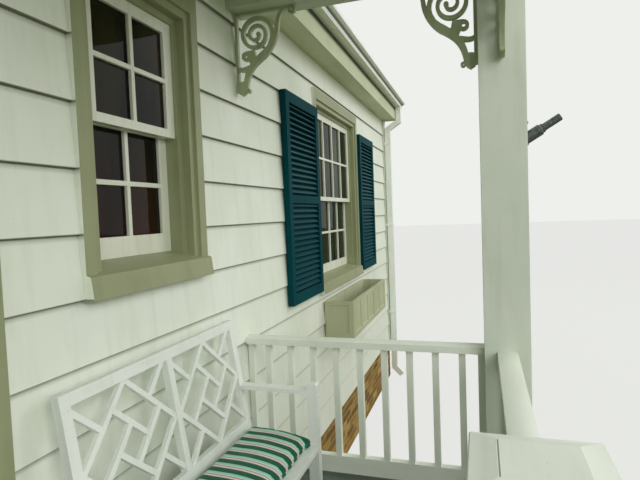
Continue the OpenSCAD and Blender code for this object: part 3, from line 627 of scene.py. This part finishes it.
# %% Door knob
knob = turned("door_knob", (386, 60.5, 2050), 31, [
    (3, 0.94), (1.5, 0.80), (1, 0.42), (14, 0.92), (8, 1.15), (4, 1.7), (5, 1.35), (7, 1.12), (8, 1.02), (8, 0.95),
    (6, 0.84), (4, 0.68), (2, 0.4)])
finish(knob, None, "grey_metal", cast_metal)
print("knob faces:", len(knob.data.polygons))

# %% [markdown]
# The window and door casings are khaki on their faces, but whoever painted the wall ran the white round
# onto their outer edges. Those side faces are picked by their place and get the white.

# %% Casings
def dress_casing(node, name, half_widths):
    """A casing with its outer side faces painted as the wall. half_widths holds each opening's middle and the
    distance from there to the casing's outer edge, in millimetres on the plan."""
    piece = dress(node, name, 2.5, "khaki_paint", khaki_paint, siding_with_lap_shade)
    painted = 0
    for face in piece.data.polygons:
        x = face.center.x * 1000 + MIDDLE.x
        y = face.center.y * 1000 + MIDDLE.y
        outer = any(abs(abs(x - middle) - half) < 1.0 for middle, half in half_widths)
        if outer and abs(face.normal.x) > 0.9 and y < 25:
            face.material_index = 1
            painted += 1
    print(name, "faces in the wall's paint:", painted)


dress_casing("porch_window_casings", "porch_window_trim", [(-1274, 387), (1274, 387)])
dress_casing("end_window_casing", "end_window_trim", [(4090, 705)])
dress_casing("door_casing", "door_trim", [(0, 584)])

# %% [markdown]
# ## The siding
#
# Each clapboard is a long tapered board that laps the one below and throws the thin dark line that makes
# the wall, and its paint adds a painted shade line there too. The lower edge is eased by sanding, so it gets a
# small rounding too.

# %% Clapboards, gable and ceiling
dress("clapboard_siding", "lapped_clapboards", 1.5, "white_paint", siding_with_lap_shade)
dress("pediment", "gable_clapboards", 1.5, "white_paint", gable_with_lap_shade)
as_they_are = dict.fromkeys(("wall_left", "wall_over_door", "wall_right", "wall_end", "gable_wall"), plaster)
as_they_are.update(porch_window_glass=porch_glass_painted_shade, end_window_glass=end_glass_painted_reflection)
for name, material in as_they_are.items():
    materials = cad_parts[name].data.materials
    materials.clear()
    materials.append(material)

# %% [markdown]
# ## The brick base
#
# Bricks are laid in a running bond: each course is shifted by half a brick. One brick is shaped and
# repeated along the course and up the wall; every second course starts with a half. A slightly smaller
# core of mortar stands between them, so the joints are real grooves: 4 mm deep in front, and the same at
# the ends, where the bricks themselves stop 5 mm short.

# %% Brick walls
BRICK, COURSE, BRICK_FACES = 213, 65, 26
JOINT, GROOVE, END_GROOVE = 10, 4, 9


def brick(low, high):
    """One brick with worn edges between two corners on the plan."""
    piece = board("brick", low, high)
    choose_all(piece)
    bpy.ops.mesh.bevel(offset=0.0035, segments=1, affect="EDGES")
    bpy.ops.object.mode_set(mode="OBJECT")
    return piece


def brick_wall(name, low, high, axis):
    """Courses of bricks that fill the box between two corners, running along axis 0 or 1."""
    low, high = Vector(low), Vector(high)
    length = high[axis] - low[axis]
    count = round(length / BRICK)
    courses = round((high.z - low.z) / COURSE)
    pitch = length / count
    rise = (high.z - low.z) / courses
    made = []
    for shift, ups, row in ((0, (courses + 1) // 2, count), (0.5, courses // 2, count - 1)):
        first_low, first_high = low.copy(), high.copy()
        first_low[axis] = low[axis] + shift * pitch + JOINT / 2
        first_high[axis] = first_low[axis] + pitch - JOINT
        first_low.z = low.z + (rise if shift else 0) + JOINT / 2
        first_high.z = first_low.z + rise - JOINT
        step = Vector((0, 0, 0))
        step[axis] = pitch
        course = repeat(brick(first_low, first_high), row, step)
        made.append(repeat(course, ups, (0, 0, 2 * rise)))
        if shift:
            for start in (low[axis] + JOINT / 2, high[axis] - pitch / 2 + JOINT / 2):
                half_low, half_high = first_low.copy(), first_high.copy()
                half_low[axis] = start
                half_high[axis] = start + pitch / 2 - JOINT
                made.append(repeat(brick(half_low, half_high), ups, (0, 0, 2 * rise)))
    return join(name, made)


def plan_box(node):
    """A node's corners on the plan, in millimetres."""
    low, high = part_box(node)
    return low * 1000 + MIDDLE, high * 1000 + MIDDLE


low, high = plan_box("house_foundation")
house_bricks = brick_wall("house_bricks", low, high, 0)
inset = Vector((END_GROOVE, GROOVE, 0))
house_core = round_edges(board("house_base_mortar", low + inset, high - inset), 3)
finish(house_bricks, "house_foundation", "brick", brick_clay)
finish(house_core, "house_foundation", "brick", mortar)
print("house bricks:", len(house_bricks.data.polygons) // BRICK_FACES)

# %% Porch base
low, high = plan_box("porch_foundation")
wall = 200
runs = [
    ("front", (low.x, low.y, 0), (high.x, low.y + wall, high.z), 0),
    ("left", (low.x, low.y + wall, 0), (low.x + wall, -2, high.z), 1),
    ("right", (high.x - wall, low.y + wall, 0), (high.x, -2, high.z), 1),
]
courses, cores = [], []
for name, corner_low, corner_high, axis in runs:
    courses.append(brick_wall("porch_bricks_" + name, corner_low, corner_high, axis))
    thin = Vector((GROOVE if axis else END_GROOVE, GROOVE, 0))
    cores.append(board("porch_core_" + name, Vector(corner_low) + thin, Vector(corner_high) - thin))
porch_bricks = finish(join("porch_bricks", courses), "porch_foundation", "brick", brick_clay)
print("porch bricks:", len(porch_bricks.data.polygons) // BRICK_FACES)
finish(round_edges(join("porch_base_mortar", cores), 3), "porch_foundation", "brick", mortar)

# %% [markdown]
# ## The porch floor
#
# Porch floors are narrow tongue-and-groove boards that run out from the house, so rain drains along them.
# Their outer ends are rounded to a nosing. One board is shaped: the two edges of its front end are picked
# by their place and rounded most, all others a little. Then it is repeated across the porch.

# %% Floor boards
low, high = plan_box("porch_floor")
boards = 52
width = (high.x - low.x) / boards
plank = board("plank", (low.x + 0.8, low.y, low.z), (low.x + width - 0.8, high.y, high.z))
front = at(0, low.y, 0).y
choose(plank, "EDGE", lambda edge, ends: all(abs(end.y - front) < 0.001 for end in ends)
       and abs(ends[0].x - ends[1].x) > 0.01)
bpy.ops.mesh.bevel(offset=0.012, segments=4, affect="EDGES")
bpy.ops.object.mode_set(mode="OBJECT")
round_edges(plank, 1.5, 1, 50)
repeat(plank, boards, (width, 0, 0))
plank.name = "porch_floor_boards"
finish(plank, "porch_floor", "floor_paint", floor_paint)
print("floor boards:", boards, "of", round(width, 1), "mm")

# %% [markdown]
# The ceiling is made of narrow boards too, as porch ceilings are. They run along the house, and the small
# bevels of two neighbours meet in a V.

# %% Ceiling boards
low, high = plan_box("porch_ceiling")
STRIP = 86
strips = round((high.y - low.y) / STRIP)
width = (high.y - low.y) / strips
strip = board("beadboard_ceiling", (low.x, low.y + 0.4, low.z), (high.x, low.y + width - 0.4, high.z))
repeat(round_edges(strip, 3, 1, 50), strips, (0, width, 0))
finish(strip, "porch_ceiling", "white_paint", trim_x)
print("ceiling boards:", strips, "of", round(width, 1), "mm")

# %% [markdown]
# ## The roofs
#
# Each shingle tab shows 140 mm of its length and lies on the tab below, so its lower edge stands up by
# a few millimetres. Tabs are shaped flat as thin wedges, repeated to courses, and then the whole field
# is turned to the pitch and cut off along the rakes and the valley with the bisect operator. The roof
# boards underneath are the solid model's slab, planed down to make room for them. Their top is felt of the
# shingles' colour, so that no white shows in the gaps, and their edges are painted as the trim.

# %% Shingle fields
PITCH = math.atan(0.5)
TAB, SHOWN, THICK = 305, 140, 9


def tab_field(columns, courses):
    """A flat field of tabs. Courses follow each other up along y from 0, and each is shifted by half a tab."""
    rows = []
    for shift in (0, 1):
        low = Vector((shift * TAB / 2 - TAB, shift * SHOWN, 0)) + MIDDLE
        piece = board("tab", low + Vector((2.5, 0, 0)), low + Vector((TAB - 2.5, SHOWN + 30, THICK)))
        back = at(0, low.y + SHOWN, 0).y
        move_vertices(piece, lambda place: place.y > back and place.z > THICK / 2000, (0, 0, -0.006))
        repeat(piece, columns + 1, (TAB, 0, 0))
        rows.append(repeat(piece, (courses + 1 - shift) // 2, (0, 2 * SHOWN, 0)))
    return join("tabs", rows)


def cut(piece, point, outward):
    """Cuts a piece by the plane through a plan point, and removes what lies on the outward side."""
    choose_all(piece)
    bpy.ops.mesh.bisect(plane_co=at(*point), plane_no=Vector(outward).normalized(), use_fill=True, clear_outer=True)
    bpy.ops.object.mode_set(mode="OBJECT")
    return piece


def lay_field(name, columns, courses, corner, turn, cuts):
    """Lays a field of tabs on a slope: its lower left corner goes to a plan point, after it is tilted to the
    pitch and turned about z, and then it is cut at its borders."""
    field = tab_field(columns, courses)
    spin = Matrix.Rotation(math.radians(turn), 4, "Z") @ Matrix.Rotation(PITCH, 4, "X")
    field.matrix_world = Matrix.Translation(at(*corner)) @ spin
    only(field)
    bpy.ops.object.transform_apply()
    for point, outward in cuts:
        cut(field, point, outward)
    field.name = name
    return field


# %% Lay the three slopes
DRIP, BOARDS = 25, 50
ROOF_EDGE, HOUSE_EDGE, FRONT, BACK = PORCH_EAVE + DRIP, -194, -1667, 149
DECK_TOP = EAVE_Z - 0.5 * DRIP + BOARDS - 20
house_end = plan_box("house_roof_edge")[1].x - 1
slope_courses = math.ceil(ROOF_EDGE * math.hypot(1, 0.5) / SHOWN)
front_and_back = [((0, FRONT, 0), (0, -1, 0)), ((0, BACK, 0), (0, 1, 0))]

# The roof boards are planed down by the thickness of the shingles.
right_deck = cut(dressed_copy("roof_right", "roof_right_boards"), (ROOF_EDGE, 0, DECK_TOP), (0.5, 0, 1))
left_deck = cut(dressed_copy("roof_left", "roof_left_boards"), (-ROOF_EDGE, 0, DECK_TOP), (-0.5, 0, 1))
edge_deck = cut(dressed_copy("house_roof_edge", "house_roof_boards"), (0, HOUSE_EDGE, DECK_TOP), (0, -0.5, 1))
right_tabs = lay_field("roof_right_tabs", 7, slope_courses, (ROOF_EDGE, FRONT - 1, DECK_TOP), 90, front_and_back + [
    ((0.5, 0, 0), (-1, 0, 0)), ((ROOF_EDGE, HOUSE_EDGE, 0), (1, 1, 0)), ((ROOF_EDGE - 0.5, 0, 0), (1, 0, 0))])
left_tabs = lay_field("roof_left_tabs", 7, slope_courses, (-ROOF_EDGE, BACK + 1, DECK_TOP), -90, front_and_back + [
    ((-0.5, 0, 0), (1, 0, 0)), ((0.5 - ROOF_EDGE, 0, 0), (-1, 0, 0))])
edge_tabs = lay_field("house_roof_tabs", 16, 3, (2000, HOUSE_EDGE, DECK_TOP), 0, [
    ((house_end, 0, 0), (1, 0, 0)), ((0, BACK, 0), (0, 1, 0)), ((ROOF_EDGE, HOUSE_EDGE, 0), (-1, -1, 0)),
    ((0, HOUSE_EDGE + 0.5, 0), (0, -1, 0))])
for tabs, deck, node in ((right_tabs, right_deck, "roof_right"), (left_tabs, left_deck, "roof_left"),
                         (edge_tabs, edge_deck, "house_roof_edge")):
    finish(tabs, node, "shingles", shingle)
    finish(deck, node, "shingles", trim_x, shingle)
    for face in deck.data.polygons:
        face.material_index = int(face.normal.z > 0.5)
print("tabs on the right slope:", slope_courses, "courses")

# %% [markdown]
# Along the ridge, short shingles are folded over the edge. Each one starts as a flat board with a fold line
# across its middle; its two sides go down to the pitch, and its front end is lifted onto the one before it.

# %% Ridge caps
RIDGE, WING = 4999, 150
caps = 13
step = (BACK - FRONT) / caps
cap = board("ridge_caps", (-WING, FRONT, RIDGE - 11), (WING, FRONT + step + 26, RIDGE - 6))
fold = at(0, FRONT, 0)
choose_all(cap)
bpy.ops.mesh.bisect(plane_co=fold, plane_no=(1, 0, 0))
bpy.ops.object.mode_set(mode="OBJECT")
move_vertices(cap, lambda place: abs(place.x - fold.x) > 0.1, (0, 0, -WING / 2000))
move_vertices(cap, lambda place: place.y < fold.y + 0.01, (0, 0, 0.004))
repeat(cap, caps, (0, step, 0))
cut(cap, (0, BACK, 0), (0, 1, 0))
finish(cap, "roof_right", "shingles", shingle)
print("ridge caps:", caps)

# %% [markdown]
# ## The seat cushion
#
# The cushion is one long pad of striped cotton. It was stuffed unevenly: it stands highest behind its middle
# and slopes down to its front edge. A box with rounded corners is remeshed to even faces and blown up as
# cloth with a little air pressure. The stripes are bands of one repeat of the cloth, laid over each other,
# and they wander a little, because the cotton isn't stretched evenly.

# %% Striped cotton
# Woven cotton: matt, with a thread every 3 mm, drawn coarser than the real one so that it shows.
cotton, tree, shader, place = start_material("striped cotton duck", IOR=1.5, Sheen_Weight=0.08, Roughness=0.9)
PERIOD, PHASE, WANDER = 0.067, 0.0299, 0.006
STRIPES = ((0.40, "#56665c"), (0.47, "#ecdcd4"), (0.62, "#b4898a"), (0.70, "#d0e4d6"), (0.80, "#9cd9c2"))
slack = add(tree, "TexNoise", {"Vector": place, "Scale": 1000 / 120, "Detail": 1})
across = add(tree, "Math", {"operation": "MULTIPLY_ADD", 0: slack, 1: WANDER, 2: PHASE})
for step, value in (("ADD", add(tree, "SeparateXYZ", {0: place}, 0)), ("DIVIDE", PERIOD), ("FRACT", 0)):
    across = add(tree, "Math", {"operation": step, 0: across, 1: value})
faded = add(tree, "TexNoise", {"Vector": place, "Scale": 1000 / 70, "Detail": 3})
lay_colours(tree, shader, "#0f5a40", *((across, start, start + 0.001, 1, shade) for start, shade in STRIPES),
            (faded, 0.5, 0.8, 0.15, "#9fae9f"))
threads = 1
for way in "XY":
    yarn = add(tree, "TexWave", {"Vector": place, "Scale": 1000 / 3.0 / 6.283, "Distortion": 0.4,
                                 "bands_direction": way}, "Fac")
    threads = add(tree, "Math", {"operation": "MULTIPLY", 0: threads, 1: yarn})
creases = add(tree, "TexNoise", {"Vector": place, "Scale": 1000 / 60, "Detail": 2})
raise_surface(tree, shader, (creases, 3.0), (threads, 0.5))
print("stripes in a repeat of", PERIOD * 1000, "mm:", len(STRIPES) + 1)

# %% Stuff the cushion
low, high = plan_box("seat_cushion")
cushion = board("striped_seat_cushion", low + Vector((4, -2, 2)), high - Vector((4, 2, 13)))
choose_all(cushion)
bpy.ops.mesh.bevel(offset=0.015, segments=4, affect="EDGES")
bpy.ops.object.mode_set(mode="OBJECT")
apply_modifier(cushion, "REMESH", mode="VOXEL", voxel_size=0.006)
rest = [v.co.copy() for v in cushion.data.vertices]
only(cushion)
cloth = cushion.modifiers.new("Cloth", "CLOTH")
cloth.settings.use_pressure = True
cloth.settings.uniform_pressure_force = 4
cloth.settings.effector_weights.gravity = 0
cloth.settings.quality = 5
for number in range(1, 21):
    bpy.context.scene.frame_set(number)
bpy.ops.object.modifier_apply(modifier=cloth.name)
bpy.context.scene.frame_set(1)
moves = [(v.co - start).length * 1000 for v, start in zip(cushion.data.vertices, rest)]
print("the cloth moved by up to", round(max(moves), 1), "mm, on average", round(sum(moves) / len(moves), 1), "mm")

# %% [markdown]
# The slats carry the cushion, the leaning back stops it behind and the legs stop it at its ends, so points
# that went too far are brought back there. Between, its height follows the stuffing: it falls off with the
# square of the distance from the crest, and at the back it rises against the bench back instead. The front
# corners stick out like ears, a sewn seam runs round the sides low down, and the front edge is gathered a
# little at every stripe.

# %% Seat, seam and gathers
SWELL, CREST, PLUMP, DEEP = 14, -275, 1.12, 78
FRONT_FALL, BACK_RISE, END_FALL, END_SINK = 0.00082, 0.0004, 0.0008, 0.02
EAR, SEAM, GATHER = 0.020, 0.003, 0.0025
base, top = at(*low), at(*high)
seam_z = base.z + 0.019
crest = at(0, CREST, 0).y
middle = (base + top) / 2
half = (top - base) / 2
for vertex, start in zip(cushion.data.vertices, rest):
    move = vertex.co - start
    if move.length > SWELL / 1000:
        vertex.co = start + move.normalized() * (SWELL / 1000)
apply_modifier(cushion, "SUBSURF", levels=1, render_levels=1)
for vertex in cushion.data.vertices:
    point = vertex.co
    lean, length = (point.y - crest) * 1000, abs(point.x - middle.x) / half.x
    drop = lean ** 2 * (FRONT_FALL if lean < 0 else END_FALL * length ** 9 - BACK_RISE)
    point.z = base.z + (point.z - base.z) * PLUMP * (1 - drop / DEEP) * (1 - END_SINK * length ** 9)
    ear = min(max((length - 0.90) / 0.09, 0), 1) * min(max((-lean - 110) / 90, 0), 1)
    point.y -= EAR * ear ** 1.5
    side = min(point.x - base.x, top.x - point.x, point.y - base.y, top.y - point.y)
    if side < 0.03:
        pull = SEAM * math.exp(-((point.z - seam_z) / 0.004) ** 2)
        gather = GATHER * math.cos((point.x + PHASE + WANDER / 2) / PERIOD * 2 * math.pi)
        point.y += (pull + gather) if point.y < middle.y else -pull
        point.x += -pull if point.x > top.x - 0.03 else pull if point.x < base.x + 0.03 else 0
    point.x = min(max(point.x, base.x + 0.0005), top.x - 0.0005)
    point.y = min(point.y, top.y - 0.001 + LEAN * (point.z - base.z))
    point.z = max(point.z, base.z + 0.0005)
only(cushion)
bpy.ops.object.shade_smooth()
finish(cushion, "seat_cushion", "cushion_fabric", cotton)
print("cushion faces:", len(cushion.data.polygons))

# %% [markdown]
# ## Floor, light and camera
#
# The stage is a pale studio floor. Soft light comes from the whole sky and from three big round panels in the
# yard, at a level where a colour renders about as it is written. The panels aren't mirrored in the window
# panes, where they would show as white discs. The camera stands where the photographer stood, on the porch
# beside the door at eye height.

# %% Stage
bpy.ops.object.select_all(action="DESELECT")
bpy.ops.mesh.primitive_plane_add(size=160, location=(0, 0, 0))
ground = bpy.context.active_object
ground.name = "studio_floor"
# A matt floor that takes the shadow of the porch, and that the camera sees as a pale backdrop.
floor_finish, tree, shader, place = start_material("studio floor", Roughness=0.9)
mottle = add(tree, "TexNoise", {"Vector": place, "Scale": 1000 / 900, "Detail": 2})
lay_colours(tree, shader, "#74775f", (mottle, 0, 1, 1, "#7c7f68"))
glow = add(tree, "Emission", {"Color": "#fbfcfa", "Strength": 1.0})
seen = add(tree, "Math", {"operation": "MULTIPLY", 0: add(tree, "LightPath", output="Is Camera Ray"), 1: 0.78})
backdrop = add(tree, "MixShader", {0: seen, 1: shader.outputs[0], 2: glow})
tree.links.new(backdrop, tree.nodes["Material Output"].inputs[0])
ground.data.materials.append(floor_finish)

# %% Sky
sky = bpy.data.worlds.new("studio sky")
bpy.context.scene.world = sky
sky.use_nodes = True
tree = sky.node_tree
tree.nodes.remove(tree.nodes["Background"])
upward = add(tree, "SeparateXYZ", {0: add(tree, "TexCoord", output="Generated")}, 2)
climb = add(tree, "MapRange", {0: upward, 1: 0, 2: 1})
overhead = add(tree, "Math", {"operation": "POWER", 0: climb, 1: 1.5})
overhead = add(tree, "Math", {"operation": "MULTIPLY", 0: overhead, 1: 1.2})
horizon = add(tree, "Math", {"operation": "SUBTRACT", 0: 1.0, 1: climb})
horizon = add(tree, "Math", {"operation": "POWER", 0: horizon, 1: 2.0})
strength = add(tree, "Math", {"operation": "MULTIPLY_ADD", 0: horizon, 1: 0.34, 2: overhead})
lit = add(tree, "Background", {"Color": "#f4f7f0", "Strength": strength})
pale = add(tree, "Background", {"Color": "#eef0ec", "Strength": 1.0})
direct = 0
for ray in ("Is Camera Ray", "Is Transmission Ray", "Is Glossy Ray"):
    direct = add(tree, "Math", {"operation": "MAXIMUM", 0: direct, 1: add(tree, "LightPath", output=ray)})
both = add(tree, "MixShader", {0: direct, 1: lit, 2: pale})
tree.links.new(both, tree.nodes["World Output"].inputs[0])
print("sky nodes:", len(tree.nodes))

# %% Lamps
LAMPS = (("yard_panel", (7.0, -8.5, 6.5), (1.0, 0, 1.8), 10, 510),
         ("steps_panel", (-6.5, -7.5, 6.0), (0, -0.3, 1.8), 7, 405),
         ("side_panel", (-9.5, -4.0, 6.0), (0, -0.2, 1.6), 6, 215))
for name, stand, aim, size, power in LAMPS:
    bpy.ops.object.light_add(type="AREA", location=stand)
    panel = bpy.context.active_object
    panel.name = name
    panel.data.shape = "DISK"
    panel.data.size = size
    panel.data.energy = power
    panel.visible_glossy = False
    panel.rotation_euler = (Vector(aim) - panel.location).to_track_quat("-Z", "Y").to_euler()
print("lamps:", len(LAMPS))

# %% Camera
EYE, LENS = (-2.5246, -0.0514, 2.2824), 28.335
yaw, pitch, roll = 0.31099, 0.04944, 0.03829
look = Matrix.Rotation(yaw, 3, "Z") @ Matrix.Rotation(pitch, 3, "Y") @ Matrix.Rotation(roll, 3, "X")
bpy.ops.object.camera_add(location=(0, 0, 0))
camera = bpy.context.active_object
axes = Matrix((-look.col[1], look.col[2], -look.col[0])).transposed()
camera.matrix_world = Matrix.Translation(EYE) @ axes.to_4x4()
camera.data.sensor_width = 36
camera.data.lens = LENS
camera.data.clip_start = 0.05
bpy.context.scene.camera = camera
bpy.context.scene.view_settings.view_transform = "Standard"
print("eye height above the porch floor:", round(EYE[2] - 0.9, 2), "m")
